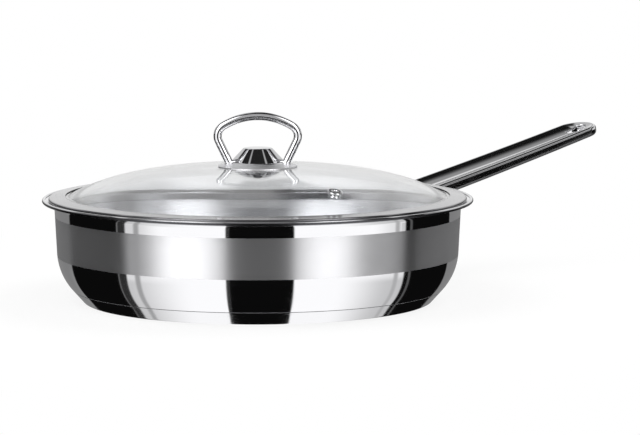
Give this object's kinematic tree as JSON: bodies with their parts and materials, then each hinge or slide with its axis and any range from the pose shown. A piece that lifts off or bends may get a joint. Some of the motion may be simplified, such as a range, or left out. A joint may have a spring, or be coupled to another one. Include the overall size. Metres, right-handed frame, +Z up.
{
  "type": "frying pan with lid",
  "caption": "Deep steel frying pan with a long dished handle, an encapsulated base, and a lift-off domed glass lid with a steel band, a steam vent and a looped rod grip.",
  "frame": {"origin": "centre of the flat foot, on the surface that the pan stands on", "axes": "+X out along the long handle, +Z up, +Y to the left when looking out along the handle"},
  "size_m": [0.4984, 0.2972, 0.1302],
  "materials": {
    "pan_steel": "mirror-polished stainless steel with a broad satin band round the wall",
    "aluminium_core": "plain rolled aluminium",
    "base_steel": "polished stainless steel with fine turned rings underneath",
    "bracket_steel": "plain stainless steel",
    "handle_steel": "mirror-polished stainless steel",
    "clear_glass": "clear tempered glass, smooth",
    "band_steel": "finely brushed stainless steel",
    "grip_steel": "mirror-polished stainless steel",
    "fixing_steel": "plain bright steel",
    "silicone_seal": "translucent white silicone"
  },
  "bodies": {
    "pan": {"pan_body": "pan_steel", "base_disc": "aluminium_core", "base_cap": "base_steel", "handle_bracket": "bracket_steel", "handle": "handle_steel"},
    "lid": {"lid_glass": "clear_glass", "lid_band": "band_steel", "vent_eyelet": "fixing_steel", "loop_base": "grip_steel", "lid_loop": "grip_steel", "anchor_nut": "fixing_steel", "upper_gasket": "silicone_seal", "under_gasket": "silicone_seal", "under_washer": "fixing_steel", "lid_screw": "fixing_steel"}
  },
  "joints": [
    {"name": "lid_lift", "type": "slide", "parent": "pan", "child": "lid", "axis": [0, 0, 1], "range_m": [0, 0.12]}
  ]
}
